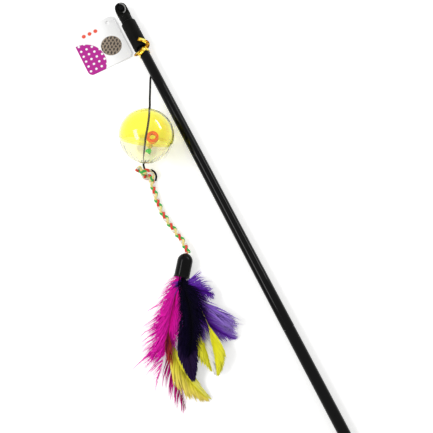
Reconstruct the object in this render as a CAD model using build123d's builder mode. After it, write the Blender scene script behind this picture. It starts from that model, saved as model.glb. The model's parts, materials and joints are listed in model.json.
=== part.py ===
"""Cat teaser wand: a plug-together rod with an elastic, a rattle ball, a braid and a feather bunch.

Frame: +Y runs along the rod to its tip, +Z is up, and the toy lies on the plane z = 0.
The origin is on that plane, under the middle of the laid-out toy. Lengths are in millimetres.
"""
import os
from math import acos, asin, atan2, cos, radians, sin, sqrt, tan

from build123d import *

os.makedirs("parts", exist_ok=True)

# Rod: two tubes that plug together, with a cap on each end
rod_x = 47.21
tip_section_length = 280.0
handle_section_length = 220.0
end_cap_radius = 5.85
handle_tube_radius = 4.2
tip_tube_base_radius = 4.3
tip_tube_end_radius = 3.9
tube_bore_radius = 3.0
joint_gap = 0.1
spigot_length = 60.0
spigot_clearance = 0.05
spigot_chamfer = 0.6
cap_fit_clearance = 0.05
rod_z = end_cap_radius
joint_y = (handle_section_length - tip_section_length) / 2
tip_y = joint_y + tip_section_length
butt_y = joint_y - handle_section_length

# Butt cap on the lower end
butt_cap_length = 30.0
butt_cap_floor = 3.0
butt_cap_rounding = 2.5

# Tip cap: a socket, a grooved neck and a flat rounded tab with an eye
socket_length = 24.5
socket_floor = 4.0
shoulder_chamfer = 0.9
mouth_rounding = 0.5
neck_length = 5.9
neck_radius = 4.65
tab_length = 11.7
tab_width = 9.4
tab_thickness = 5.4
tab_rounding = 0.8
tab_root_overlap = 0.2
eye_radius = 1.5
eye_inset = 5.8
rim_height = 0.6
rim_width = 0.8
rim_half_length = 4.6
rim_half_width = 3.5
neck_start_y = tip_y - tab_length - neck_length
socket_mouth_y = neck_start_y - socket_length
tip_tube_end_y = neck_start_y - socket_floor
tab_top_z = rod_z + tab_thickness / 2
eye_y = tip_y - eye_inset

# Cords: each bend is as large as this share of the shorter run allows, and cut ends are rounded
bend_run_share = 0.45
end_rounding_share = 0.8

# Elastic: tied in the eye, led under the rod, then up to the ball
elastic_radius = 0.75
stop_knot_radius = 2.1
stop_knot_height = 1.9
stop_knot_rounding = 0.7

# Twist tie of foil round the rod and the elastic
tie_below_socket = 3.8
tie_width = 3.2
tie_thickness = 0.3
tie_clearance = 0.1
tie_elastic_clearance = 0.55
tie_twist_size = 2.2
tie_tail_width = 2.8
tie_tail_lengths = (9.5, 5.0)
tie_tail_aims = ((-0.36, 0.9, 0.22), (-0.62, 0.76, -0.15))
tie_tail_root_share = 0.2
tie_elastic_dx = 3.55
tie_elastic_drop = 3.45
tie_y = socket_mouth_y - tie_below_socket

# Swing tag: a card on a stiff nylon loop round the neck of the tip cap
card_width = 37.0
card_length = 39.0
card_thickness = 0.45
card_corner = 4.0
card_lift_angle = 2.2
card_right_from_rod = 8.0
card_top_from_tip = 3.2
card_hole_radius = 1.6
card_hole_from_right = 6.2
card_hole_from_top = 4.4
loop_radius = 0.2
loop_clearance = 0.2

# Rattle ball: a yellow cap and a clear cup on one axis, holed at both poles for the elastic
ball_radius = 20.0
ball_wall = 1.2
ball_dx = -28.1
ball_from_tip = 113.1
ball_axis_rise = 27.0
ball_axis_yaw = 36.0
ball_hole_radius = 1.05
seam_drop = 2.5
lip_depth = 1.8
lip_thickness = 0.8
lip_clearance = 0.05
lip_web = 1.0
bead_clearance = 0.3

# Loose beads in the ball: a ring by the seam, then two round beads nearer to the lower pole.
# A swing turns a bead about the ball's axis from its lowest side.
ring_bead_radius = 4.7
ring_bead_hole = 2.4
ring_bead_thickness = 2.8
ring_bead_rounding = 0.7
ring_bead_station = -2.2
ring_bead_swing = 10.0
ring_bead_tilt = 35.0
yellow_bead_radius = 2.1
yellow_bead_swing = 4.0
green_bead_radius = 2.2
green_bead_swing = 8.0

# Knot where the elastic meets the braid, from the ball's lower pole (x, y) and the table (z)
knot_top = (-1.13, -2.88, 7.7)
knot_foot = (-0.83, -12.48, 2.6)
knot_radius = 3.7
knot_end_radius = 1.6
stub_radius = 1.7
stub_length = 4.6
stub_aim = (-0.46, 0.88, -0.05)
stub_start_share = 0.45

# Braid and the black cap that holds the feathers, the cap's top counted from the ball's lower pole
braid_radius = 2.0
cap_top = (-1.43, -72.88)
cap_heading = 38.0
cap_radius = 5.5
cap_wall = 0.7
cap_lip_height = 0.4
cap_lip_length = 1.2
cap_length = 17.5
cap_dome_height = 5.2
cap_wall_top = 5.6
cap_hole_radius = 1.6
cap_hole_clearance = 0.05
cap_hinge_gap = 0.4
braid_end_head_radius = 2.6
braid_end_head_length = 1.6
glue_length = 3.0
glue_clearance = 0.05
cap_bore_radius = cap_radius - cap_wall
cap_lip_radius = cap_radius + cap_lip_height

# Feathers: two columns of quills that fill the cap's bore, one layer above another
quill_clearance = 0.35
quill_column_offset = 1.2
quill_width = 0.9
layer_gap = 0.1
vane_edge_thickness = 0.2
neck_straight = 4.5
station_shares = (0.0, 0.08, 0.2, 0.36, 0.54, 0.72, 0.88, 0.97, 1.0)
fluffy_shares = (0.05, 0.4, 0.75, 0.95, 1.0, 0.95, 0.7, 0.4, 0.12)
stiff_shares = (0.08, 0.1, 0.16, 0.3, 0.62, 0.95, 1.0, 0.75, 0.3)
slim_shares = (0.08, 0.18, 0.4, 0.75, 1.0, 0.95, 0.65, 0.3, 0.1)

# Each feather: its length, its width, its start angle from the cap's axis and its bend along its
# length (positive to the left, away from the rod), and the shares of the width along it. Listed from
# the lowest layer up; every second feather is in the right column.
feather_lengths = {
    "feather_crimson_long": 87.0,
    "feather_violet_long": 56.0,
    "feather_yellow_left": 88.0,
    "feather_yellow_right": 70.0,
    "feather_crimson_short": 48.0,
    "feather_yellow_middle": 63.0,
    "feather_pink": 70.0,
    "feather_violet_short": 24.0,
    "feather_indigo_stiff": 68.0,
    "feather_indigo_fluffy": 50.0,
}
feather_widths = {
    "feather_crimson_long": 10.0,
    "feather_violet_long": 20.0,
    "feather_yellow_left": 12.0,
    "feather_yellow_right": 11.0,
    "feather_crimson_short": 8.0,
    "feather_yellow_middle": 11.0,
    "feather_pink": 21.0,
    "feather_violet_short": 12.0,
    "feather_indigo_stiff": 10.5,
    "feather_indigo_fluffy": 18.0,
}
feather_angles = {
    "feather_crimson_long": (1.0, -32.0),
    "feather_violet_long": (-30.0, -52.0),
    "feather_yellow_left": (14.0, -80.0),
    "feather_yellow_right": (-56.0, 48.0),
    "feather_crimson_short": (3.0, -8.0),
    "feather_yellow_middle": (-36.0, 10.0),
    "feather_pink": (-2.0, 5.0),
    "feather_violet_short": (-80.0, -8.0),
    "feather_indigo_stiff": (-18.0, -5.0),
    "feather_indigo_fluffy": (-36.0, 36.0),
}
feather_shares = {
    "feather_crimson_long": slim_shares,
    "feather_violet_long": fluffy_shares,
    "feather_yellow_left": slim_shares,
    "feather_yellow_right": slim_shares,
    "feather_crimson_short": slim_shares,
    "feather_yellow_middle": slim_shares,
    "feather_pink": fluffy_shares,
    "feather_violet_short": fluffy_shares,
    "feather_indigo_stiff": stiff_shares,
    "feather_indigo_fluffy": fluffy_shares,
}
stack_half_height = sqrt((cap_bore_radius - quill_clearance) ** 2 - quill_column_offset**2)
layer_pitch = (2 * stack_half_height + layer_gap) / len(feather_lengths)
rachis_thickness = layer_pitch - layer_gap

# Routes of the cords, chosen by hand: up to the ball from the rod's axis (x), its tip (y) and the
# table (z), past the ball from its lower pole (x, y) and the table (z)
elastic_tied_route = (
    (0.0, -5.8, tab_top_z),
    (0.0, -5.8, 2.0),
    (2.3, -8.6, 1.1),
    (4.5, -12.2, 0.85),
    (4.75, -19.0, 0.82),
    (4.7, -27.0, 0.85),
    (4.68, -35.0, 0.86),
    (4.72, -41.8, 0.95),
    (3.75, -44.6, 2.1),
    (3.45, -47.4, 2.4),
    (1.9, -52.2, 1.3),
    (0.2, -57.0, 0.8),
    (-0.8, -59.6, 0.78),
)
elastic_lead_route = (
    (-1.05, -60.2, 0.8),
    (-2.7, -63.4, 1.0),
    (-5.4, -68.2, 4.2),
    (-8.8, -75.2, 11.0),
    (-12.0, -83.0, 19.2),
    (-14.2, -89.2, 26.0),
    (-15.1, -92.2, 29.9),
)
elastic_before_ball = 2.8
elastic_after_ball = 1.0
elastic_end = (-1.03, -2.38, 8.2)
elastic_tail_route = (
    (2.37, -5.08, 5.6),
    (3.67, -6.88, 5.2),
    (4.07, -9.28, 4.2),
    (3.37, -11.58, 2.8),
    (1.67, -13.18, 1.6),
)
braid_route = (
    (-0.93, -13.38, 2.25),
    (-1.73, -18.28, 2.1),
    (-3.23, -26.68, 2.1),
    (-4.13, -37.08, 2.1),
    (-2.83, -47.88, 2.2),
    (-0.83, -58.08, 3.0),
    (0.37, -66.88, 5.0),
    (-0.63, -73.18, 6.1),
)


def laid(point):
    """A place given from the rod's axis, its tip and the table, in the model's frame."""
    return Vector(rod_x + point[0], tip_y + point[1], point[2])


def rod_plane(y):
    """The plane across the rod at y, facing the tip."""
    return Plane(origin=(rod_x, y, rod_z), x_dir=(1, 0, 0), z_dir=(0, 1, 0))


def save(part, label):
    part.label = label
    export_step(part, "parts/" + label + ".step")


def tube_along(points, radius, label):
    """A round cord along straight runs joined by arcs as large as the runs allow."""
    runs = [points[i + 1] - points[i] for i in range(len(points) - 1)]
    bends = []
    for before, after in zip(runs, runs[1:]):
        half_turn = radians(before.get_angle(after)) / 2
        shorter = min(before.length, after.length)
        bends.append(bend_run_share * shorter / tan(half_turn))
    with BuildPart() as tube:
        with BuildLine() as path:
            FilletPolyline(*points, radius=bends)
        with BuildSketch(Plane(origin=points[0], z_dir=runs[0])):
            Circle(radius)
        sweep()
        swept_volume = tube.part.volume
        fillet(tube.faces().filter_by(GeomType.PLANE).edges(), radius=radius * end_rounding_share)
    length = path.wire().length
    drawn = swept_volume / (Circle(radius, mode=Mode.PRIVATE).area * length)
    print(label, "length", round(length, 1), "volume ratio", round(drawn, 4))
    print("  bend radii", [round(bend, 1) for bend in bends])
    save(tube.part, label)


# Handle section
handle_tube_start = butt_y + butt_cap_floor
with BuildPart() as handle_tube:
    with BuildSketch(rod_plane(handle_tube_start)):
        Circle(handle_tube_radius)
        Circle(tube_bore_radius, mode=Mode.SUBTRACT)
    extrude(amount=joint_y - handle_tube_start)
save(handle_tube.part, "handle_tube")

with BuildPart() as joint_spigot:
    with BuildSketch(rod_plane(joint_y - spigot_length / 2)):
        Circle(tube_bore_radius - spigot_clearance)
    extrude(amount=spigot_length)
    chamfer(joint_spigot.edges().filter_by(GeomType.CIRCLE), length=spigot_chamfer)
save(joint_spigot.part, "joint_spigot")

with BuildPart() as butt_cap:
    with BuildSketch(rod_plane(butt_y)):
        Circle(end_cap_radius)
    extrude(amount=butt_cap_length)
    fillet(butt_cap.edges().group_by(Axis.Y)[0], radius=butt_cap_rounding)
    with BuildSketch(rod_plane(handle_tube_start)):
        Circle(handle_tube_radius + cap_fit_clearance)
    extrude(amount=butt_cap_length, mode=Mode.SUBTRACT)
save(butt_cap.part, "butt_cap")

# Tip section
tip_tube_start = joint_y + joint_gap
with BuildPart() as tip_tube:
    with BuildSketch(rod_plane(tip_tube_start)):
        Circle(tip_tube_base_radius)
    with BuildSketch(rod_plane(tip_tube_end_y)):
        Circle(tip_tube_end_radius)
    loft()
    with BuildSketch(rod_plane(tip_tube_start)):
        Circle(tube_bore_radius)
    extrude(amount=tip_tube_end_y - tip_tube_start, mode=Mode.SUBTRACT)
save(tip_tube.part, "tip_tube")

taper = (tip_tube_base_radius - tip_tube_end_radius) / (tip_tube_end_y - tip_tube_start)
tube_radius_at_mouth = tip_tube_end_radius + taper * (tip_tube_end_y - socket_mouth_y)
tab_arc_y = tip_y - tab_width / 2
tab_root_y = neck_start_y + neck_length - tab_root_overlap
with BuildPart() as tab:
    with BuildSketch(Plane.XY.offset(rod_z - tab_thickness / 2)):
        with Locations((rod_x, (tab_root_y + tab_arc_y) / 2)):
            Rectangle(tab_width, tab_arc_y - tab_root_y)
        with Locations((rod_x, tab_arc_y)):
            Circle(tab_width / 2)
    extrude(amount=tab_thickness)
    tab_rims = tab.faces().filter_by(Axis.Z).edges().filter_by(Axis.X, reverse=True)
    fillet(tab_rims, radius=tab_rounding)

with BuildPart() as tip_cap:
    with BuildSketch(rod_plane(socket_mouth_y)):
        Circle(end_cap_radius)
    extrude(amount=socket_length)
    chamfer(tip_cap.edges().group_by(Axis.Y)[-1], length=shoulder_chamfer)
    fillet(tip_cap.edges().group_by(Axis.Y)[0], radius=mouth_rounding)
    with BuildSketch(rod_plane(neck_start_y)):
        Circle(neck_radius)
    extrude(amount=neck_length)
    add(tab.part)
    with BuildSketch(Plane.XY.offset(tab_top_z)):
        with Locations((rod_x, eye_y)):
            Ellipse(rim_half_width, rim_half_length)
            Ellipse(rim_half_width - rim_width, rim_half_length - rim_width, mode=Mode.SUBTRACT)
    extrude(amount=rim_height)
    with BuildSketch(Plane.XY):
        with Locations((rod_x, eye_y)):
            Circle(eye_radius)
    extrude(amount=tab_top_z + rim_height, mode=Mode.SUBTRACT)
    with BuildSketch(rod_plane(socket_mouth_y)):
        Circle(tube_radius_at_mouth + cap_fit_clearance)
    extrude(amount=tip_tube_end_y - socket_mouth_y, mode=Mode.SUBTRACT)
save(tip_cap.part, "tip_cap")

with BuildPart() as elastic_stop_knot:
    with BuildSketch(Plane.XY.offset(tab_top_z)):
        with Locations((rod_x, eye_y)):
            Circle(stop_knot_radius)
    extrude(amount=stop_knot_height)
    fillet(elastic_stop_knot.edges().group_by(Axis.Z)[-1], radius=stop_knot_rounding)
save(elastic_stop_knot.part, "elastic_stop_knot")

tube_along([laid(point) for point in elastic_tied_route], elastic_radius, "elastic_tied")

# Twist tie: a band round the tube and the elastic, a twist on its upper right and two foil tails
band_plane = rod_plane(tie_y - tie_width / 2)
tube_room = tube_radius_at_mouth + tie_clearance
elastic_room = elastic_radius + tie_elastic_clearance
twist_direction = Vector(1, 0, 1).normalized()
twist_place = Vector(rod_x, tie_y, rod_z) + twist_direction * (tube_room + tie_thickness)
left_place = Vector(rod_x - tube_room - tie_thickness - tie_tail_width * tie_tail_root_share, tie_y, rod_z)
tail_starts = (twist_place + twist_direction * tie_twist_size, left_place)
with BuildPart() as twist_tie:
    with BuildSketch(band_plane):
        Circle(tube_room + tie_thickness)
        with Locations((tie_elastic_dx, tie_elastic_drop)):
            Circle(elastic_room + tie_thickness)
        make_hull()
    extrude(amount=tie_width)
    with BuildSketch(Plane(origin=twist_place, z_dir=twist_direction)):
        Circle(tie_twist_size / 2)
    extrude(amount=tie_twist_size, both=True)
    for start, aim, reach in zip(tail_starts, tie_tail_aims, tie_tail_lengths):
        tail_direction = Vector(aim).normalized()
        across = tail_direction.cross(Vector(0, 0, 1)).normalized()
        with BuildSketch(Plane(origin=start, x_dir=across, z_dir=tail_direction)):
            Rectangle(tie_tail_width, tie_thickness)
        extrude(amount=reach)
    with BuildSketch(band_plane):
        Circle(tube_room)
        with Locations((tie_elastic_dx, tie_elastic_drop)):
            Circle(elastic_room)
        make_hull()
    extrude(amount=tie_width, mode=Mode.SUBTRACT)
save(twist_tie.part, "twist_tie")

# Swing tag: the card lies on the table with its string side lifted a little
lift = radians(card_lift_angle)
card_left_x = rod_x - card_right_from_rod - card_width * cos(lift)
card_plane = Plane(
    origin=(card_left_x, tip_y - card_top_from_tip, 0),
    x_dir=(cos(lift), 0, sin(lift)),
    z_dir=(-sin(lift), 0, cos(lift)),
)
card_hole = (card_width - card_hole_from_right, -card_hole_from_top)
with BuildPart() as tag_card:
    with BuildSketch(card_plane):
        with Locations((card_width / 2, -card_length / 2)):
            RectangleRounded(card_width, card_length, card_corner)
        with Locations(card_hole):
            Circle(card_hole_radius, mode=Mode.SUBTRACT)
    extrude(amount=card_thickness)
save(tag_card.part, "tag_card")

# The loop turns round the neck's groove, and its two strands run to the card and meet in its hole
hole_place = card_plane.from_local_coords(Vector(*card_hole, card_thickness / 2))
neck_middle = Vector(rod_x, neck_start_y + neck_length / 2, rod_z)
to_hole = Vector(hole_place.X - neck_middle.X, hole_place.Y - neck_middle.Y, 0)
loop_plane = Plane(origin=neck_middle, x_dir=to_hole, z_dir=to_hole.cross(Vector(0, 0, 1)))
loop_slant = to_hole.get_angle(Vector(-1, 0, 0))
loop_turn_radius = neck_radius / cos(radians(loop_slant)) + loop_clearance + loop_radius
strand_gap = card_thickness / 2 + loop_clearance + loop_radius
strand_ends = [(to_hole.length, hole_place.Z - rod_z + gap) for gap in (strand_gap, -strand_gap)]
tangent_angles = []
for strand_end, turn_way in zip(strand_ends, (1, -1)):
    bearing = atan2(strand_end[1], strand_end[0])
    tangent_angles.append(bearing + turn_way * acos(loop_turn_radius / Vector(strand_end).length))
far_angle = sum(tangent_angles) / 2 + radians(180)
turn_points = [
    (loop_turn_radius * cos(angle), loop_turn_radius * sin(angle))
    for angle in (tangent_angles[1], far_angle, tangent_angles[0])
]
with BuildPart() as tag_loop:
    with BuildLine(loop_plane) as loop_path:
        ThreePointArc(*turn_points)
        FilletPolyline(turn_points[2], *strand_ends, turn_points[0], radius=strand_gap / 2)
    with BuildSketch(Plane(origin=loop_path.wire() @ 0, z_dir=loop_path.wire() % 0)):
        Circle(loop_radius)
    sweep(path=loop_path.wire())
save(tag_loop.part, "tag_loop")

# Ball: both shells turn about the elastic's line through the two poles
rise, yaw = radians(ball_axis_rise), radians(ball_axis_yaw)
ball_centre = laid((ball_dx, -ball_from_tip, ball_radius))
ball_direction = Vector(cos(rise) * sin(yaw), cos(rise) * cos(yaw), sin(rise))
ball_side = ball_direction.cross(Vector(0, 0, 1)).normalized()
ball_down = ball_direction.cross(ball_side).normalized()
ball_axis = Axis(ball_centre, ball_direction)
ball_pole = ball_centre - ball_direction * ball_radius
ball_section = Plane(origin=ball_centre, x_dir=ball_side, z_dir=ball_side.cross(ball_direction))
ball_inner = ball_radius - ball_wall
lip_radius = sqrt(ball_inner**2 - (seam_drop + lip_depth) ** 2) - lip_clearance


def past_ball(point):
    """A place given from the ball's lower pole and the table, in the model's frame."""
    return Vector(ball_pole.X + point[0], ball_pole.Y + point[1], point[2])


def wall_section(low, high):
    """Half of the ball's wall between two heights on its axis, outside the pole's hole."""
    width = ball_radius - ball_hole_radius
    Circle(ball_radius)
    Circle(ball_inner, mode=Mode.SUBTRACT)
    with Locations((ball_hole_radius + width / 2, (low + high) / 2)):
        Rectangle(width, high - low, mode=Mode.INTERSECT)


with BuildPart() as ball_cap_yellow:
    with BuildSketch(ball_section):
        wall_section(-seam_drop, ball_radius)
        with Locations((lip_radius - lip_thickness, -seam_drop)):
            Rectangle(ball_radius - ball_wall / 2 - lip_radius + lip_thickness, lip_web, align=Align.MIN)
        with Locations((lip_radius - lip_thickness, -seam_drop - lip_depth)):
            Rectangle(lip_thickness, lip_depth, align=Align.MIN)
    revolve(axis=ball_axis)
save(ball_cap_yellow.part, "ball_cap_yellow")

with BuildPart() as ball_cup_clear:
    with BuildSketch(ball_section):
        wall_section(-ball_radius, -seam_drop)
    revolve(axis=ball_axis)
save(ball_cup_clear.part, "ball_cup_clear")


def bead_place(station, swing, from_axis):
    """A loose bead's middle: its place along the ball's axis, turned from the lowest side."""
    outward = ball_down * cos(radians(swing)) + ball_side * sin(radians(swing))
    return ball_centre + ball_direction * station + outward * from_axis


ring_tilt = radians(ring_bead_tilt)
ring_reach = ring_bead_radius * sin(ring_tilt) + ring_bead_thickness / 2 * cos(ring_tilt)
ring_axial_reach = ring_bead_radius * cos(ring_tilt) + ring_bead_thickness / 2 * sin(ring_tilt)
ring_from_axis = lip_radius - lip_thickness - bead_clearance - ring_reach
ring_bead_middle = bead_place(ring_bead_station, ring_bead_swing, ring_from_axis)
ring_direction = ball_down * cos(ring_tilt) + ball_direction * -sin(ring_tilt)
with BuildPart() as bead_orange:
    with BuildSketch(Plane(origin=ring_bead_middle, z_dir=ring_direction)):
        Circle(ring_bead_radius)
        Circle(ring_bead_hole, mode=Mode.SUBTRACT)
    extrude(amount=ring_bead_thickness / 2, both=True)
    ring_edges = bead_orange.edges().filter_by(GeomType.CIRCLE)
    fillet(ring_edges.group_by(SortBy.LENGTH)[-1], radius=ring_bead_rounding)
save(bead_orange.part, "bead_orange")


def round_bead(label, bead_radius, angle, swing):
    """A ball-shaped bead on the shell's inside, at an angle from the ball's middle to its lower pole."""
    room = ball_inner - bead_clearance - bead_radius
    middle = bead_place(-room * sin(angle), swing, room * cos(angle))
    with BuildPart() as bead:
        with BuildSketch(Plane(origin=middle, x_dir=(1, 0, 0), z_dir=(0, -1, 0))):
            Circle(bead_radius)
            with Locations((-bead_radius, 0)):
                Rectangle(2 * bead_radius, 2 * bead_radius, mode=Mode.SUBTRACT)
        revolve(axis=Axis(middle, (0, 0, 1)))
    save(bead.part, label)


yellow_room = ball_inner - bead_clearance - yellow_bead_radius
yellow_drop = ring_axial_reach - ring_bead_station + bead_clearance + yellow_bead_radius
yellow_angle = asin(yellow_drop / yellow_room)
green_room = ball_inner - bead_clearance - green_bead_radius
green_step = yellow_bead_radius + green_bead_radius + bead_clearance
green_angle = yellow_angle + 2 * asin(green_step / (2 * green_room))
round_bead("bead_yellow", yellow_bead_radius, yellow_angle, yellow_bead_swing)
round_bead("bead_green", green_bead_radius, green_angle, green_bead_swing)

# Elastic from the rod through the ball to the knot
before_ball = ball_centre + ball_direction * (ball_radius + elastic_before_ball)
after_ball = ball_pole - ball_direction * elastic_after_ball
lead_points = [laid(point) for point in elastic_lead_route]
tube_along([*lead_points, before_ball, after_ball, past_ball(elastic_end)], elastic_radius, "elastic_cord")

# Knot: a drawn-up bundle of the braid with its cut end standing off one side
knot_start, knot_end = past_ball(knot_top), past_ball(knot_foot)
knot_direction = (knot_end - knot_start).normalized()
knot_length = (knot_end - knot_start).length
knot_side = knot_direction.cross(Vector(0, 0, 1)).normalized()
knot_section = Plane(origin=knot_start, x_dir=knot_side, z_dir=knot_side.cross(knot_direction))
stub_start = knot_start + knot_direction * (knot_length * stub_start_share)
knot_corners = ((knot_end_radius, 0), (knot_end_radius, knot_length))
with BuildPart() as braid_knot:
    with BuildSketch(knot_section):
        with BuildLine():
            Line((0, 0), knot_corners[0])
            ThreePointArc(knot_corners[0], (knot_radius, knot_length / 2), knot_corners[1])
            Polyline(knot_corners[1], (0, knot_length), (0, 0))
        make_face()
    revolve(axis=Axis(knot_start, knot_direction))
    with BuildSketch(Plane(origin=stub_start, z_dir=stub_aim)):
        Circle(stub_radius)
    extrude(amount=stub_length + knot_radius)
save(braid_knot.part, "braid_knot")

tube_along([past_ball(point) for point in elastic_tail_route], elastic_radius, "elastic_tail")
tube_along([past_ball(point) for point in braid_route], braid_radius, "braided_cord")

# Feather cap: a round-topped black cup that lies on its lip
heading = radians(cap_heading)
cap_direction = Vector(-sin(heading), -cos(heading), 0)
cap_left = Vector(-cos(heading), sin(heading), 0)
cap_start = past_ball((*cap_top, cap_lip_radius)) + cap_direction * cap_hinge_gap
cap_axis = Axis(cap_start, cap_direction)
cap_section = Plane(origin=cap_start, x_dir=cap_left, z_dir=cap_left.cross(cap_direction))
lip_start = cap_length - cap_lip_length
lip_full = cap_length - cap_lip_length / 2
dome_middle = (cap_radius * sin(radians(45)), cap_dome_height * (1 - cos(radians(45))))
with BuildPart() as feather_cap:
    with BuildSketch(cap_section):
        with BuildLine():
            Line((0, 0), (cap_hole_radius, 0))
            ThreePointArc((cap_hole_radius, 0), dome_middle, (cap_radius, cap_dome_height))
            Line((cap_radius, cap_dome_height), (cap_radius, lip_start))
            Line((cap_radius, lip_start), (cap_lip_radius, lip_full))
            Line((cap_lip_radius, lip_full), (cap_lip_radius, cap_length))
            Polyline((cap_lip_radius, cap_length), (0, cap_length), (0, 0))
        make_face()
        with Locations((0, cap_wall_top)):
            Rectangle(cap_bore_radius, cap_length, align=Align.MIN, mode=Mode.SUBTRACT)
        Rectangle(cap_hole_radius, cap_length, align=Align.MIN, mode=Mode.SUBTRACT)
    revolve(axis=cap_axis)
save(feather_cap.part, "feather_cap")

glue_start = cap_wall_top + braid_end_head_length
quill_start = glue_start + glue_length
with BuildPart() as braid_end:
    with BuildSketch(cap_section):
        Rectangle(cap_hole_radius - cap_hole_clearance, glue_start, align=Align.MIN)
        with Locations((0, cap_wall_top)):
            Rectangle(braid_end_head_radius, braid_end_head_length, align=Align.MIN)
    revolve(axis=cap_axis)
save(braid_end.part, "braid_end")

with BuildPart() as glue_plug:
    with BuildSketch(cap_section):
        with Locations((0, glue_start)):
            Rectangle(cap_bore_radius - glue_clearance, glue_length, align=Align.MIN)
    revolve(axis=cap_axis)
save(glue_plug.part, "glue_plug")


def feather_stations(feather_name, column):
    """Places, headings and widths along one feather, from the glue to its tip."""
    start_angle, bend = feather_angles[feather_name]
    length, width = feather_lengths[feather_name], feather_widths[feather_name]
    quill = cap_left * (quill_column_offset * column)
    stations = [(cap_start + quill + cap_direction * quill_start, 0, quill_width)]
    stations.append((cap_start + quill + cap_direction * cap_length, 0, quill_width))
    place = cap_start + quill + cap_direction * (cap_length + neck_straight)
    travelled = 0
    for share, width_share in zip(station_shares, feather_shares[feather_name]):
        angle = start_angle + bend * share
        step_angle = radians(start_angle + bend * (share + travelled) / 2)
        step = length * (share - travelled)
        place = place + (cap_direction * cos(step_angle) + cap_left * sin(step_angle)) * step
        section_angle = angle if share > 0 else angle / 2
        stations.append((place, section_angle, max(quill_width, width * width_share)))
        travelled = share
    return stations


for layer, feather_name in enumerate(feather_lengths):
    column = 1 if layer % 2 == 0 else -1
    layer_rise = Vector(0, 0, layer_pitch * (layer - (len(feather_lengths) - 1) / 2))
    rachis, edge = rachis_thickness / 2, vane_edge_thickness / 2
    with BuildPart() as feather:
        for place, angle, span in feather_stations(feather_name, column):
            turn = radians(angle)
            ahead = cap_direction * cos(turn) + cap_left * sin(turn)
            left = cap_left * cos(turn) - cap_direction * sin(turn)
            with BuildSketch(Plane(origin=place + layer_rise, x_dir=left, z_dir=ahead)):
                Polygon(
                    (-span / 2, -edge), (0, -rachis), (span / 2, -edge),
                    (span / 2, edge), (0, rachis), (-span / 2, edge), align=None,
                )
        loft(ruled=True)
    save(feather.part, feather_name)
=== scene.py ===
"""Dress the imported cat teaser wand: rod, tip cap, tag, tie, elastic, rattle ball, braid and feathers."""
import json
from math import atan2, cos, pi, radians, sin, sqrt

import bpy
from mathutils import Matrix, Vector, noise


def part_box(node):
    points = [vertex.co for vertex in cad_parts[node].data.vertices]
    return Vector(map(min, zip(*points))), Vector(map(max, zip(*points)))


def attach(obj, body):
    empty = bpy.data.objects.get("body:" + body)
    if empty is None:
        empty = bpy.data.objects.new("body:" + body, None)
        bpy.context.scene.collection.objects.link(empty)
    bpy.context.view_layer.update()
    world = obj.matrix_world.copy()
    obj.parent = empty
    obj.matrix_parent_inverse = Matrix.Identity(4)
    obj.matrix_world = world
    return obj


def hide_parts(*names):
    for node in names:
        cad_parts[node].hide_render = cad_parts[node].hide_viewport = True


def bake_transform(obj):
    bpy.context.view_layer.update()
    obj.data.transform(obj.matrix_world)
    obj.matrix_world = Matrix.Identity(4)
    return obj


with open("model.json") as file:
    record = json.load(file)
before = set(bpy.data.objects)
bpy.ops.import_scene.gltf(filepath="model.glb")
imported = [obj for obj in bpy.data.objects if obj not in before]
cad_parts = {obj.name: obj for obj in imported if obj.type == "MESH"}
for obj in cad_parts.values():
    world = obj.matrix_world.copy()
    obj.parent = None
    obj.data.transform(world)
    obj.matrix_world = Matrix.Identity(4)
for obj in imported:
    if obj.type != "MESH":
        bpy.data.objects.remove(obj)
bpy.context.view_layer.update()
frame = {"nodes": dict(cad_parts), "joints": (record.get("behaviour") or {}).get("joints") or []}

mm = 0.001
up = Vector((0, 0, 1))


def middle(node):
    """Middle of a CAD node's box."""
    low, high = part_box(node)
    return (low + high) / 2


# Places that the frame gives
rod_x = middle("tip_tube").x
rod_z = middle("tip_tube").z
tip_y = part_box("tip_cap")[1].y
ball_centre = (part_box("ball_cap_yellow")[1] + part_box("ball_cup_clear")[0]) / 2
ball_spin = next(joint for joint in frame["joints"] if joint["name"] == "ball_spin")
ball_axis = Vector(ball_spin["axis"])
joint_place = {joint["name"]: Vector(joint.get("pos_m", (0, 0, 0))) for joint in frame["joints"]}


def laid(dx, dy, z):
    """A place from the rod's axis, the rod's tip and the table, given in millimetres."""
    return Vector((rod_x + dx * mm, tip_y + dy * mm, z * mm))


# Camera, as the photograph was taken
camera_place = Vector((-2.29, -16.0, 427.5)) * mm
camera_aim = Vector((38.98, 64.90, 0)) * mm
camera_view = radians(40)
camera_near = 10 * mm

# Soft boxes, turned to one aim: place, width, length and power in watts
lamp_aim = Vector((30, 90, 0)) * mm
lamps = {
    "left_box": (Vector((-360, 200, 490)) * mm, 420 * mm, 170 * mm, 2.1),
    "right_strip": (Vector((600, 240, 300)) * mm, 400 * mm, 100 * mm, 1.5),
}

# Table and sky: the sky lights the toy less than it shows
table_half = 3000 * mm
table_drop = 0.05 * mm
table_colour = (0.86, 0.86, 0.85, 1)
table_glow = 0.42
sky_light = 0.52
sky_shown = 1.0

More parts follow.
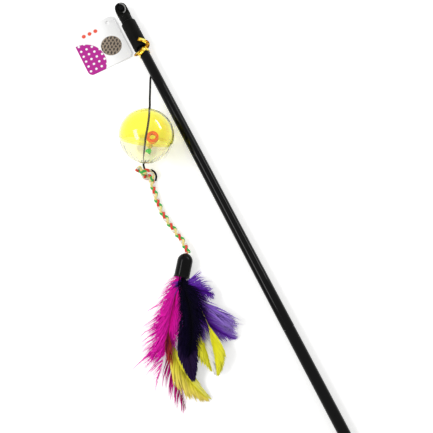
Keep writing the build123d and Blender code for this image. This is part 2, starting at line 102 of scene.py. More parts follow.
# Cords, in millimetres from the rod and its tip
elastic_radius = 0.75 * mm
elastic_tied_route = (
    (0, -5.8, 8.55), (0, -5.8, 2.0), (2.3, -8.6, 1.1), (4.5, -12.2, 0.85), (4.75, -19, 0.82),
    (4.7, -27, 0.85), (4.68, -35, 0.86), (4.72, -41.8, 0.95), (3.75, -44.6, 2.1), (3.45, -47.4, 2.4),
    (1.9, -52.2, 1.3), (0.2, -57, 0.8), (-0.8, -59.6, 0.78),
)
elastic_lead_route = (
    (-1.05, -60.2, 0.8), (-2.3, -62.6, 1.0), (-4.46, -66.4, 4.2), (-7.77, -74.6, 11.0), (-11.46, -84, 19.2),
    (-14.12, -90.7, 25.2), (-15.7, -94.9, 28.6), (-16.79, -97.53, 29.81),
)
elastic_in_ball = (
    (-18.47, -99.83, 28.35), (-20.6, -103.4, 26.6), (-25.2, -109.2, 22.4), (-29.9, -114.2, 18.6),
    (-33.9, -120.3, 14.4), (-37.74, -126.36, 11.65),
)
elastic_end_route = ((-39.41, -128.67, 10.19), (-39.63, -129.9, 8.4), (-39.8, -131.6, 6.8))
elastic_tail_route = (
    (-36.2, -132.4, 5.8), (-34.5, -134.2, 5.4), (-33.9, -136.8, 4.4), (-34.7, -139.4, 2.9),
    (-36.6, -141.0, 1.6),
)
braid_radius = 2.0 * mm
braid_route = (
    (-39.5, -140.9, 2.5), (-40.3, -145.8, 2.35), (-41.8, -154.2, 2.35), (-42.7, -164.6, 2.35),
    (-41.4, -175.4, 2.45), (-39.4, -185.6, 3.1), (-38.2, -194.4, 5.0), (-39.2, -200.7, 6.1),
)
cord_fineness = 24
cord_sides = 12
cord_end_share = 0.25

# Stop knot on the tab: two turns with three lobes
stop_knot_steps = 90
stop_knot_turns = 2
stop_knot_lobes = 3
stop_knot_middle_share = 0.62
stop_knot_cord_share = 0.95
stop_knot_sides = 10

# Braid: four plied yarns, each with its hand and its first angle
yarn_lays = ((1, 0.0), (1, pi), (-1, pi / 2), (-1, 3 * pi / 2))
braid_pitch = 10.2 * mm
braid_core = 0.98 * mm
braid_weave = 0.28 * mm
yarn_radius = 0.56 * mm
ply_radius = 0.47 * mm
plies = 4
ply_pitch = 4.5 * mm
ply_sides = 6

# Knot of the braid, in millimetres to its side, from its foot to its top, and out of them
knot_foot = laid(-39.4, -140.0, 2.6)
knot_top = laid(-39.7, -130.4, 7.7)
knot_route = (
    (0.0, -1.2, 0.0), (0.6, 1.4, 0.8), (2.5, 3.4, 2.4), (1.8, 8.0, 2.2), (-2.2, 9.6, 1.0),
    (-3.2, 5.4, -1.2), (-0.6, 2.2, -2.2), (2.4, 4.6, -1.6), (2.0, 8.6, 0.8), (-0.8, 8.8, 3.0),
    (-2.6, 9.6, 2.2), (-3.4, 11.6, 1.2), (-4.3, 13.4, 0.5),
)
knot_tightness = 0.98
fray_length = 2.6 * mm
fray_spread = 0.9

# Rattle ball
ball_radius = 20.0 * mm
ball_wall = 1.2 * mm
ball_seam_drop = 2.5 * mm
ball_hole_radius = 1.05 * mm
ball_flutes = 22
flute_depth = 0.22 * mm
ball_arc_steps = 28
ball_round_steps = 132

# Lip on the rim of the tab's eye
eye_inset = 5.8 * mm
lip_reach = (3.1 * mm, 4.2 * mm)
lip_height = 0.6 * mm
lip_radius = 0.5 * mm
lip_turn = (radians(-95), radians(85))
lip_steps = 40
lip_sides = 10

# Twist tie of gold foil
tie_y = tip_y - 45.9 * mm
tie_width = 3.2 * mm
tie_slant = 0.34
tie_thickness = 0.22 * mm
tie_wire_ridge = 0.3 * mm
tie_tube_room = 4.07 * mm
tie_elastic_room = 1.25 * mm
tie_elastic_place = (3.55 * mm, -3.45 * mm)
tie_band_start = radians(62)
tie_band_steps = 100
tie_band_pitch = 0.9 * mm
tie_band_crush = 0.22 * mm
tie_band_seed = 1
tie_tail_width = 3.1 * mm
tie_tail_crush = 0.3 * mm
tie_tail_twist = 0.4
tie_tail_seed = 5
foil_fold = 2.2 * mm

# The tie's tails, in millimetres from the rod's axis at the tie
tie_tail_routes = (
    ((2.9, 0.5, 4.6), (5.0, 1.8, 4.2), (5.4, 3.6, 5.0), (4.0, 5.4, 6.1), (2.0, 7.2, 6.5), (0.2, 8.8, 6.4)),
    ((-1.8, -0.9, 4.3), (-3.7, -1.0, 3.8), (-5.4, -0.4, 2.6), (-7.2, 0.8, 1.2)),
)

# Section of a foil strip: shares of its half width, with shares of the wire's ridge or the foil's thickness
foil_face_shares = ((-1, 0.3), (-0.5, 0.4), (-0.15, 1.0), (0.15, 1.0), (0.5, 0.4), (1, 0.3))
foil_back_shares = ((1, -0.3), (0, -0.3), (-1, -0.3))
foil_side_crush_share = 0.6

# Print on the swing tag, in millimetres from the card's middle: discs by place and radius
print_edge = 0.25
print_corner_disc = (-18.0, -9.0, 17.0)
print_dot_pitch = 4.6
print_dot_radius = 0.95
print_yarn_disc = (7.0, -4.0, 8.2)
print_strand_turn = 2.4
print_cross_turns = (-1.3, 2.2)
print_spot_discs = ((-9.0, 13.0, 1.6), (-4.0, 13.0, 1.6), (1.0, 13.0, 1.6))

# Feather cap and feathers
cap_start = Vector((6.96, 49.285, 5.9)) * mm
cap_heading = radians(38)
cap_direction = Vector((-sin(cap_heading), -cos(cap_heading), 0))
cap_left = Vector((-cos(cap_heading), sin(cap_heading), 0))
cap_length = 17.5 * mm
quill_start = 11.0 * mm
quill_column_offset = 1.2 * mm
neck_straight = 4.5 * mm
layer_pitch = 0.867 * mm


def put(tree, kind, values=None, **settings):
    """Add one node to a tree; a value is set on its socket, or joined to it where it is a socket itself."""
    node = tree.nodes.new(kind)
    for name, setting in settings.items():
        setattr(node, name, setting)
    for key, value in (values or {}).items():
        if isinstance(value, bpy.types.NodeSocket):
            tree.links.new(value, node.inputs[key])
        else:
            node.inputs[key].default_value = value
    return node


def grey(level):
    """A grey, as a colour."""
    return level, level, level


def shaded(colour, share):
    """A colour made deeper or paler."""
    return tuple(min(1.0, part * share) for part in colour)


class Finish:
    """One material, put together round its shader."""

    def __init__(self, name, values):
        self.material = bpy.data.materials.new(name)
        self.material.use_nodes = True
        self.tree = self.material.node_tree
        self.shader = self.tree.nodes["Principled BSDF"]
        for key, value in values.items():
            self.shader.inputs[key].default_value = value

    def put(self, kind, values=None, **settings):
        return put(self.tree, kind, values, **settings)

    def place(self, scale=(1, 1, 1), shift=(0, 0, 0)):
        """Object coordinates, stretched and shifted."""
        coordinates = self.put("ShaderNodeTexCoord").outputs["Object"]
        values = {"Vector": coordinates, "Scale": scale, "Location": shift}
        return self.put("ShaderNodeMapping", values).outputs["Vector"]

    def apart(self, vector):
        """The first two numbers of a vector."""
        outputs = self.put("ShaderNodeSeparateXYZ", {"Vector": vector}).outputs
        return outputs["X"], outputs["Y"]

    def surface(self, turn, fineness):
        """How far round the piece, in turns, and how far along it, in metres, each times a number."""
        coordinates = self.put("ShaderNodeTexCoord").outputs["UV"]
        values = {"Vector": coordinates, "Scale": (turn, fineness, 1)}
        return self.apart(self.put("ShaderNodeMapping", values).outputs["Vector"])

    def mark(self, name):
        """A number kept at each point of the piece."""
        return self.put("ShaderNodeAttribute", attribute_name=name).outputs["Fac"]

    def sum(self, operation, first, second=0.0, third=0.0):
        values = {0: first, 1: second, 2: third}
        return self.put("ShaderNodeMath", values, operation=operation).outputs[0]

    def cloud(self, fineness, detail=2.0, stretch=(1, 1, 1)):
        """Cloudy tones all over the piece."""
        values = {"Vector": self.place(stretch), "Scale": fineness, "Detail": detail}
        return self.put("ShaderNodeTexNoise", values).outputs["Fac"]

    def ramp(self, amount, stops):
        """Colours along an amount, each stop a place and a colour."""
        node = self.put("ShaderNodeValToRGB", {"Fac": amount})
        elements = node.color_ramp.elements
        while len(elements) < len(stops):
            elements.new(0.5)
        for element, (position, colour) in zip(elements, stops):
            element.position = position
            element.color = (*colour, 1)
        return node.outputs["Color"]

    def mix(self, share, first, second, blend="MIX"):
        node = self.put("ShaderNodeMix", {"Factor": share}, data_type="RGBA", blend_type=blend)
        for socket, value in zip((node.inputs[6], node.inputs[7]), (first, second)):
            if isinstance(value, bpy.types.NodeSocket):
                self.tree.links.new(value, socket)
            else:
                socket.default_value = (*value, 1)
        return node.outputs[2]

    def feed(self, key, output):
        self.tree.links.new(output, self.shader.inputs[key])

    def tone(self, amount, *stops):
        """Colour the piece along an amount."""
        self.feed("Base Color", self.ramp(amount, stops))

    def rough(self, amount, low, high):
        """Set the roughness between two values along an amount from 0 to 1."""
        values = {"Value": amount, "To Min": low, "To Max": high}
        self.feed("Roughness", self.put("ShaderNodeMapRange", values).outputs["Result"])

    def bump(self, height, depth, strength=1.0):
        """Raise the surface by a height, depth metres high."""
        values = {"Height": height, "Distance": depth, "Strength": strength}
        self.feed("Normal", self.put("ShaderNodeBump", values).outputs["Normal"])


def tube_black():
    """Glossy black plastic tube, with faint draw lines along it."""
    finish = Finish("tube_black", {"Specular IOR Level": 0.11})
    lines = finish.cloud(900, 3, stretch=(1, 0.02, 1))
    smears = finish.cloud(60, 3, stretch=(1, 0.25, 1))
    finish.tone(smears, (0.3, grey(0.0008)), (0.75, grey(0.002)))
    finish.rough(smears, 0.05, 0.12)
    finish.bump(lines, 0.02 * mm, 0.25)
    return finish.material


def vinyl_black():
    """Satin black moulded vinyl with a fine grain."""
    finish = Finish("vinyl_black", {"Specular IOR Level": 0.05})
    grain = finish.cloud(2600, 2)
    wear = finish.cloud(140, 4)
    finish.tone(wear, (0.3, grey(0.002)), (0.8, (0.006, 0.006, 0.005)))
    finish.rough(wear, 0.34, 0.55)
    finish.bump(grain, 0.05 * mm, 0.35)
    return finish.material


def cap_black():
    """Glossy black cap with soft mould waves."""
    finish = Finish("cap_black", {"Specular IOR Level": 0.09})
    waves = finish.cloud(160, 2)
    finish.tone(waves, (0.3, grey(0.001)), (0.8, grey(0.004)))
    finish.rough(waves, 0.08, 0.2)
    finish.bump(waves, 0.12 * mm, 0.3)
    return finish.material


def lip_painted_highlight():
    """Black vinyl painted pale grey along an edge as a painted highlight, and shiny there."""
    finish = Finish("lip_painted_highlight", {"Specular IOR Level": 0.5})
    painted_highlight_tone = finish.cloud(300, 3)
    # The pale grey is a painted highlight on the rim, not wear of the vinyl.
    finish.tone(painted_highlight_tone, (0.3, grey(0.16)), (0.8, (0.26, 0.26, 0.25)))
    finish.rough(painted_highlight_tone, 0.18, 0.3)
    return finish.material


def braided_cover():
    """Black elastic under a fine braided cover."""
    finish = Finish("elastic_black", {"Specular IOR Level": 0.05})
    around, along = finish.surface(8 * pi, 5200)
    one_way = finish.sum("SINE", finish.sum("ADD", around, along))
    other_way = finish.sum("SINE", finish.sum("SUBTRACT", around, along))
    weave = finish.sum("MAXIMUM", one_way, other_way)
    # The strands are darker where they dip, low in the bump, as painted shade between them.
    finish.tone(weave, (0.0, grey(0.001)), (1.0, (0.008, 0.008, 0.009)))
    finish.rough(weave, 0.75, 0.5)
    finish.bump(weave, 0.06 * mm, 0.7)
    return finish.material


def yarn(name, colour):
    """One plied yarn of the braid, with twisted fibres, painted darker in the grooves between them as
    painted shade.
    """
    finish = Finish(name, {"Roughness": 0.7, "Sheen Weight": 0.3, "Sheen Roughness": 0.5})
    fibres = finish.sum("SINE", finish.sum("ADD", *finish.surface(10 * pi, 2600)))
    tone = finish.cloud(700, 3)
    # The tone is partly random and partly painted shade: the fibres' grooves, low in the bump, are darker.
    shade = finish.sum("MULTIPLY_ADD", fibres, 0.18, tone)
    finish.tone(shade, (0.2, shaded(colour, 0.78)), (0.62, colour))
    finish.bump(fibres, 0.05 * mm, 0.6)
    return finish.material


def foil_gold():
    """Bright gold foil, crushed and creased, with dark brown patches painted in as painted shade and painted
    dark reflections.
    """
    finish = Finish("foil_gold", {"Metallic": 1.0})
    creases = finish.cloud(420)
    tone = finish.cloud(330, 1)
    # The low end of this tone paints dark brown patches among the gold as painted shade and painted dark
    # reflections; they follow a cloud of their own, not the creases.
    finish.tone(
        tone, (0.36, (0.16, 0.05, 0.004)), (0.46, (0.62, 0.3, 0.02)),
        (0.55, (0.95, 0.74, 0.06)), (0.66, (0.98, 0.92, 0.3)),
    )
    finish.rough(creases, 0.1, 0.3)
    finish.bump(creases, 0.4 * mm, 0.7)
    return finish.material


def shell(name, colour):
    """Clear moulded plastic with slow waves in its wall."""
    values = {"Base Color": (*colour, 1), "Transmission Weight": 1.0, "IOR": 1.15}
    finish = Finish(name, {**values, "Coat Weight": 1.0, "Coat IOR": 1.5, "Coat Roughness": 0.03})
    waves = finish.cloud(75, 2)
    scuffs = finish.cloud(800, 4)
    finish.rough(scuffs, 0.0, 0.05)
    finish.bump(waves, 1.0 * mm, 0.06)
    return finish.material


def bead(name, colour):
    """Glossy coloured bead with swirls in the plastic."""
    finish = Finish(name, {"Roughness": 0.16, "Coat Weight": 0.4, "Subsurface Weight": 0.1})
    swirl = finish.cloud(260, 3)
    finish.tone(swirl, (0.3, shaded(colour, 0.75)), (0.6, colour))
    finish.bump(swirl, 0.08 * mm, 0.2)
    return finish.material


def nylon_clear():
    """Clear nylon thread."""
    finish = Finish("nylon_clear", {"Transmission Weight": 1.0, "IOR": 1.1, "Alpha": 0.25})
    tone = finish.cloud(900, 2)
    finish.tone(tone, (0.3, (0.6, 0.6, 0.61)), (0.7, (0.85, 0.85, 0.86)))
    finish.rough(tone, 0.08, 0.25)
    return finish.material


def glue_clear():
    """Set clear glue, coloured dark brown as painted shade for the shade inside the cap."""
    finish = Finish("glue_clear", {"Roughness": 0.35, "Subsurface Weight": 0.3})
    tone = finish.cloud(500, 3)
    # The dark brown is painted shade; the glue itself is clear.
    finish.tone(tone, (0.3, (0.05, 0.04, 0.03)), (0.7, (0.12, 0.1, 0.07)))
    finish.bump(tone, 0.2 * mm, 0.4)
    return finish.material


def card_white():
    """Smooth white card with a print of a dotted corner, a rolled ball of yarn and three spots."""
    finish = Finish("card_white", {"Specular IOR Level": 0.35})
    shift = tuple(-part / mm for part in middle("tag_card"))
    across, along = finish.apart(finish.place((1 / mm, 1 / mm, 1 / mm), shift))

    def how_far(x, y):
        return finish.sum("SQRT", finish.sum("ADD", finish.sum("POWER", x, 2), finish.sum("POWER", y, 2)))

    def disc(x, y, radius):
        """1 inside a disc, 0 outside."""
        far = how_far(finish.sum("SUBTRACT", across, x), finish.sum("SUBTRACT", along, y))
        values = {"Value": far, "From Min": radius - print_edge, "From Max": radius + print_edge}
        return finish.put("ShaderNodeMapRange", {**values, "To Min": 1, "To Max": 0}).outputs["Result"]

    def in_cell(place):
        """A place counted from the middle of its own dot's cell."""
        in_pitch = finish.sum("FLOORED_MODULO", place, print_dot_pitch)
        return finish.sum("SUBTRACT", in_pitch, print_dot_pitch / 2)

    dots = finish.sum("LESS_THAN", how_far(in_cell(across), in_cell(along)), print_dot_radius)
    wave = finish.sum("SINE", along)
    winding = finish.sum("SINE", finish.sum("MULTIPLY_ADD", across, print_strand_turn, wave))
    turn_across, turn_along = print_cross_turns
    slant = finish.sum("MULTIPLY", across, turn_across)
    counter = finish.sum("SINE", finish.sum("MULTIPLY_ADD", along, turn_along, slant))
    strands = finish.sum("MAXIMUM", winding, counter)
    yarn_colour = finish.ramp(strands, ((0.1, (0.045, 0.036, 0.03)), (0.9, (0.34, 0.27, 0.2))))
    fibre = finish.cloud(1800, 4)
    paper = finish.ramp(fibre, ((0.2, (0.95, 0.95, 0.945)), (0.8, (0.99, 0.99, 0.985))))
    print_corner = finish.mix(dots, (0.44, 0.012, 0.27), (0.9, 0.9, 0.9))
    colour = finish.mix(disc(*print_corner_disc), paper, print_corner)
    colour = finish.mix(disc(*print_yarn_disc), colour, yarn_colour)
    for spot in print_spot_discs:
        colour = finish.mix(disc(*spot), colour, (0.8, 0.09, 0.05))
    finish.feed("Base Color", colour)
    finish.rough(fibre, 0.38, 0.55)
    finish.bump(fibre, 0.02 * mm, 0.3)
    return finish.material


def barb_finish(name, left, right):
    """Dyed barbs: deep at the rib, the dye's own colour along them and thinner at the tips."""
    finish = Finish(name, {"Roughness": 0.7, "Specular IOR Level": 0.05})
    along = finish.mark("along")
    left_dye = finish.ramp(along, tuple(zip(barb_dye_shares, left)))
    right_dye = finish.ramp(along, tuple(zip(barb_dye_shares, right)))
    dye = finish.mix(finish.mark("left_side"), right_dye, left_dye)
    streak = finish.ramp(finish.mark("shade"), ((0.0, grey(0.88)), (1.0, grey(1.0))))
    finish.feed("Base Color", finish.mix(1.0, dye, streak, "MULTIPLY"))
    return finish.material


def rib_finish(name, colour):
    """A feather's horny rib."""
    finish = Finish(name, {"Roughness": 0.8, "Specular IOR Level": 0.0})
    tone = finish.cloud(400, 2)
    finish.tone(tone, (0.3, colour), (0.7, shaded(colour, 1.5)))
    return finish.material


class Heap:
    """Points, faces, surface coordinates and material numbers of one mesh while it is put together."""

    def __init__(self):
        self.points = []
        self.faces = []
        self.surface = []
        self.marks = []

    def face(self, corners, surface, mark):
        self.faces.append(corners)
        self.surface.extend(surface)
        self.marks.append(mark)

    def skin(self, rings, mark=0, closed=False):
        """Faces round a row of rings; a row that isn't closed gets its two ends filled."""
        first = len(self.points)
        sides = len(rings[0])
        for ring in rings:
            self.points.extend(ring)
        centres = [sum(ring, Vector()) / sides for ring in rings]
        rows = list(range(len(rings))) + ([0] if closed else [])
        travelled = 0.0
        for before, after in zip(rows, rows[1:]):
            reached = travelled + (centres[after] - centres[before]).length
            for side in range(sides):
                beside = (side + 1) % sides
                low, high = first + before * sides, first + after * sides
                u, beside_u = side / sides, (side + 1) / sides
                surface = ((u, travelled), (beside_u, travelled), (beside_u, reached), (u, reached))
                self.face((low + side, low + beside, high + beside, high + side), surface, mark)
            travelled = reached
        if not closed:
            last = first + (len(rings) - 1) * sides
            self.face(tuple(range(first + sides - 1, first - 1, -1)), [(0.5, 0.0)] * sides, mark)
            self.face(tuple(range(last, last + sides)), [(0.5, travelled)] * sides, mark)

    def mesh(self, name, materials, sharp_angle=radians(50)):
        """The finished mesh, smooth apart from its sharp edges."""
        mesh = bpy.data.meshes.new(name)
        mesh.from_pydata(self.points, [], self.faces)
        layer = mesh.uv_layers.new(name="surface")
        for corner, place in zip(layer.data, self.surface):
            corner.uv = place
        for material in materials:
            mesh.materials.append(material)
        mesh.polygons.foreach_set("material_index", self.marks)
        mesh.shade_smooth()
        mesh.set_sharp_from_angle(angle=sharp_angle)
        return mesh

    def piece(self, name, materials):
        """The finished mesh as an object in the scene."""
        return shown(name, self.mesh(name, materials))


def shown(name, mesh):
    piece = bpy.data.objects.new(name, mesh)
    bpy.context.scene.collection.objects.link(piece)
    return piece


def steer(stations):
    """A heading and two cross directions at each place along a line, turned no more than the line turns."""
    befores = stations[:1] + stations[:-1]
    afters = stations[1:] + stations[-1:]
    headings = [(after - before).normalized() for before, after in zip(befores, afters)]
    across = headings[0].orthogonal().normalized()
    directions = []
    for heading in headings:
        across = (across - heading * across.dot(heading)).normalized()
        directions.append((heading, across, heading.cross(across)))
    return directions


def tube_rings(stations, radii, sides):
    """Round rings along a line."""
    turns = [2 * pi * side / sides for side in range(sides)]
    rings = []
    for (_, across, over), place, radius in zip(steer(stations), stations, radii):
        rings.append([place + (across * cos(turn) + over * sin(turn)) * radius for turn in turns])
    return rings


def way_along(stations):
    """Distance of each place from the line's start."""
    distances = [0.0]
    for before, after in zip(stations, stations[1:]):
        distances.append(distances[-1] + (after - before).length)
    return distances


def cord_line(points):
    """A cord's smooth line, read from a NURBS spline that has its route's points as control points."""
    curve = bpy.data.curves.new("cord_line", "CURVE")
    curve.dimensions = "3D"
    spline = curve.splines.new("NURBS")
    spline.points.add(len(points) - 1)
    for control, point in zip(spline.points, points):
        control.co = (*point, 1)
    spline.order_u = 3
    spline.use_endpoint_u = True
    spline.resolution_u = cord_fineness
    holder = bpy.data.objects.new("cord_line", curve)
    mesh = bpy.data.meshes.new_from_object(holder)
    line = [vertex.co.copy() for vertex in mesh.vertices]
    bpy.data.objects.remove(holder)
    bpy.data.curves.remove(curve)
    bpy.data.meshes.remove(mesh)
    return line


def rounded_tube(name, line, radius, sides, material):
    """A tube along a line as one piece, with its two ends rounded over."""
    distances = way_along(line)
    radii = []
    for distance in distances:
        from_end = min(distance, distances[-1] - distance)
        inset = max(0.0, 1 - from_end / radius)
        radii.append(radius * max(cord_end_share, sqrt(max(0.0, 1 - inset * inset))))
    heap = Heap()
    heap.skin(tube_rings(line, radii, sides))
    return heap.piece(name, [material])


def elastic(material):
    """The elastic from the tab's eye, along the cap and under the rod, through the ball to the knot."""
    routes = elastic_tied_route + elastic_lead_route + elastic_in_ball + elastic_end_route
    line = cord_line([laid(*point) for point in routes])
    piece = rounded_tube("elastic_line", line, elastic_radius, cord_sides, material)
    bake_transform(piece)
    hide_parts("elastic_tied", "elastic_cord")
    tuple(line[0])


def elastic_tail(material):
    """The elastic's cut end, bowed out beside the knot."""
    line = cord_line([laid(*point) for point in elastic_tail_route])
    piece = rounded_tube("elastic_cut_end", line, elastic_radius, cord_sides, material)
    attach(piece, "braid")
    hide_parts("elastic_tail")


def stop_knot(material):
    """The elastic's overhand knot on top of the tab."""
    low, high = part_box("elastic_stop_knot")
    centre = (low + high) / 2
    reach = (high.x - low.x) / 2 - elastic_radius
    lift = (high.z - low.z) / 2 - elastic_radius
    line = []
    for step in range(stop_knot_steps + 1):
        turn = 2 * pi * step / stop_knot_steps
        lobe, angle = stop_knot_lobes * turn, stop_knot_turns * turn
        swing = reach * (stop_knot_middle_share + (1 - stop_knot_middle_share) * cos(lobe))
        line.append(centre + Vector((swing * cos(angle), swing * sin(angle), lift * sin(lobe))))
    radius = elastic_radius * stop_knot_cord_share
    piece = rounded_tube("elastic_eye_knot", line, radius, stop_knot_sides, material)
    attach(piece, "tip_section")
    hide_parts("elastic_stop_knot")


def eye_lip(material):
    """The rounded lip on the right of the tab's eye."""
    across, along = lip_reach
    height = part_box("elastic_stop_knot")[0].z + lip_height
    middle_place = Vector((rod_x, tip_y - eye_inset, height))
    first, last = lip_turn
    line = []
    for step in range(lip_steps + 1):
        turn = first + (last - first) * step / lip_steps
        line.append(middle_place + Vector((across * cos(turn), along * sin(turn), 0)))
    piece = rounded_tube("tab_eye_lip", line, lip_radius, lip_sides, material)
    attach(piece, "tip_section")


def wound(line, angles, reaches):
    """A line wound round another, at an angle and a reach for each of its places."""
    strand = []
    for (_, across, over), place, angle, reach in zip(steer(line), line, angles, reaches):
        strand.append(place + (across * cos(angle) + over * sin(angle)) * reach)
    return strand


def lay_yarns(heap, line, tightness=1.0, fray=0.0):
    """Four plied yarns, over and under each other along a line; the last stretch may splay out."""
    distances = way_along(line)
    swings = [2 * pi * distance / braid_pitch for distance in distances]
    splays = [max(0.0, 1 - (distances[-1] - distance) / fray_length) ** 2 * fray for distance in distances]
    for colour, (hand, phase) in enumerate(yarn_lays):
        reaches = []
        for swing, splay in zip(swings, splays):
            off_middle = (braid_core + hand * braid_weave * cos(2 * swing - pi / 2)) * tightness
            reaches.append(off_middle + splay * braid_radius)
        lay = wound(line, [hand * swing + phase for swing in swings], reaches)
        for ply in range(plies):
            angles = [2 * pi * (distance / ply_pitch + ply / plies) for distance in way_along(lay)]
            strand = wound(lay, angles, [yarn_radius * tightness] * len(lay))
            heap.skin(tube_rings(strand, [ply_radius * tightness] * len(lay), ply_sides), colour)


def braid(yarns):
    """The braided cord from the knot to the feather cap."""
    line = cord_line([laid(*point) for point in braid_route])
    heap = Heap()
    lay_yarns(heap, line)
    piece = heap.piece("braid_yarns", yarns)
    turn_place = joint_place["feather_swing"]
    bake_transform(piece)
    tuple(turn_place)
    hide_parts("braided_cord")
    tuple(line[0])


def knot(yarns):
    """The braid's knot: one drawn-up loop with its frayed cut end standing off."""
    upward = (knot_top - knot_foot).normalized()
    side = upward.cross(up).normalized()
    out = side.cross(upward)
    points = [knot_foot + (side * x + upward * y + out * z) * mm for x, y, z in knot_route]
    heap = Heap()
    lay_yarns(heap, cord_line(points), knot_tightness, fray_spread)
    piece = heap.piece("braid_knot_yarns", yarns)
    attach(piece, "braid")
    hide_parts("braid_knot")


def ball_arc(radius):
    """Angles from the ball's axis along one wall of the cup, from its rim to its hole."""
    rim = pi - atan2(sqrt(radius**2 - ball_seam_drop**2), ball_seam_drop)
    hole = pi - atan2(ball_hole_radius, sqrt(radius**2 - ball_hole_radius**2))
    return [rim + (hole - rim) * part / ball_arc_steps for part in range(ball_arc_steps + 1)]


def ball_cup(material):
    """The ball's clear cup, smooth outside and fluted inside towards its hole."""
    across = ball_axis.orthogonal().normalized()
    over = ball_axis.cross(across)
    outer, inner = ball_radius, ball_radius - ball_wall
    outer_arc, inner_arc = ball_arc(outer), ball_arc(inner)
    rings = []
    for step in range(ball_round_steps):
        turn = 2 * pi * step / ball_round_steps
        outward = across * cos(turn) + over * sin(turn)
        ring = []
        for angle in outer_arc:
            ring.append(ball_centre + (ball_axis * cos(angle) + outward * sin(angle)) * outer)
        for part, angle in reversed(list(enumerate(inner_arc))):
            flute = flute_depth * sin(pi * part / ball_arc_steps) * cos(ball_flutes * turn)
            ring.append(ball_centre + (ball_axis * cos(angle) + outward * sin(angle)) * (inner + flute))
        rings.append(ring)
    heap = Heap()
    heap.skin(rings, closed=True)
    piece = heap.piece("ball_cup_fluted", [material])
    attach(piece, "ball")
    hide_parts("ball_cup_clear")


def foil_strip(heap, line, outward, width, crush, seed):
    """A strip of foil over a wire: thin at its edges, raised along its middle, and crushed all over."""
    section = [(share, rise * tie_wire_ridge + tie_thickness / 2) for share, rise in foil_face_shares]
    section += [(share, rise * tie_thickness) for share, rise in foil_back_shares]
    rings = []
    for (heading, _, _), place, out in zip(steer(line), line, outward):
        out = (out - heading * out.dot(heading)).normalized()
        side = out.cross(heading)
        ring = []
        for share, rise in section:
            point = place + side * (share * width / 2) + out * rise
            wobble = noise.noise(point / foil_fold + Vector((seed, 0, 0)))
            ring.append(point + out * (wobble * crush) + side * (wobble * crush * foil_side_crush_share))
        rings.append(ring)
    heap.skin(rings)


def twist_tie(material):
    """Gold foil tie: a slanted band round the rod and the elastic, a twist and two crushed tails."""
    heap = Heap()
    band, outward = [], []
    rod_middle = Vector((rod_x, tie_y, rod_z))
    elastic_x, elastic_z = tie_elastic_place
    for step in range(tie_band_steps + 1):
        share = step / tie_band_steps
        turn = tie_band_start - 2 * pi * share
        out = Vector((cos(turn), 0, sin(turn)))
        on_rod = tie_tube_room > elastic_x * out.x + elastic_z * out.z + tie_elastic_room
        if on_rod:
            place = rod_middle + out * tie_tube_room
        else:
            place = rod_middle + Vector((elastic_x, 0, elastic_z)) + out * tie_elastic_room
        place.y += tie_slant * (place.x - rod_x) + tie_band_pitch * (share - 0.5)
        band.append(place)
        outward.append(out)
    foil_strip(heap, band, outward, tie_width, tie_band_crush, tie_band_seed)
    for seed, route in enumerate(tie_tail_routes, tie_tail_seed):
        line = cord_line([rod_middle + Vector(point) * mm for point in route])
        twists = [tie_tail_twist * step / len(line) for step in range(len(line))]
        outward = [Vector((sin(twist), 0, cos(twist))) for twist in twists]
        foil_strip(heap, line, outward, tie_tail_width, tie_tail_crush, seed)
    piece = heap.piece("foil_tie", [material])
    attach(piece, "tip_section")
    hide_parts("twist_tie")


# Kinds of barbs: angles in degrees, ruffle in millimetres, and shares of the rib where the vane begins,
# where it is full, where it ends and from where its barbs thin out
smooth_vane = dict(
    barb="vane", angle=28, angle_spread=6, lift=2, lift_spread=4, length_spread=0.1, wisps=0.1, locks=0.3,
    begins=0.3, full=0.6, ends=1.0, thins=1.0, lean=0.4,
)
loose_hairs = dict(
    barb="hair", lift=3, lift_spread=8, length_spread=0.2, wisps=0.2, locks=0.5, ruffle=4.0,
    begins=0.0, ends=1.0, thins=1.0, lean=0.3,
)
barb_kinds = {
    "slim": dict(smooth_vane, count=200, ruffle=1.2, begins=0.46, roundness=2.6),
    "stiff": dict(
        smooth_vane, count=220, angle=33, angle_spread=3, length_spread=0.05, wisps=0.0, ruffle=0.6,
        full=0.5, ends=0.96, roundness=4.5, lean=0.85,
    ),
    "crescent": dict(smooth_vane, count=200, ruffle=0.8, roundness=2.2),
    "sickle": dict(
        smooth_vane, count=420, angle=30, angle_spread=5, length_spread=0.08, wisps=0.05, ruffle=1.0,
        begins=0.5, full=0.62, ends=0.96, roundness=3.0, lean=0.6,
    ),
    "ragged": dict(
        loose_hairs, count=50, angle=32, angle_spread=11, lift=2, lift_spread=5, length_spread=0.15,
        wisps=0.3, locks=0.8, begins=0.25, full=0.6, roundness=5.0,
    ),
    "soft": dict(
        loose_hairs, count=190, angle=34, angle_spread=13, ruffle=3.0, begins=0.68, full=0.85, roundness=9.0,
    ),
    "fan": dict(loose_hairs, count=320, angle=46, angle_spread=18, full=0.35, roundness=2.4, lean=0.5),
    "tuft": dict(
        loose_hairs, count=220, angle=56, angle_spread=32, lift=0, lift_spread=7, length_spread=0.3,
        wisps=0.3, locks=0.6, begins=-0.15, full=0.3, roundness=2.0,
    ),
    "plume": dict(
        loose_hairs, barb="down", count=760, angle=46, angle_spread=26, lift=2, lift_spread=9,
        length_spread=0.4, wisps=0.5, locks=0.15, ruffle=3.5, begins=-0.3, full=0.12, thins=0.45,
        roundness=3.0, lean=0.5,
    ),
    "fluffy": dict(
        loose_hairs, barb="down", count=640, angle=48, angle_spread=24, lift_spread=12,
        length_spread=0.35, wisps=0.5, locks=0.3, ruffle=6.0, begins=-0.2, full=0.2, thins=0.75,
        roundness=1.6,
    ),
}

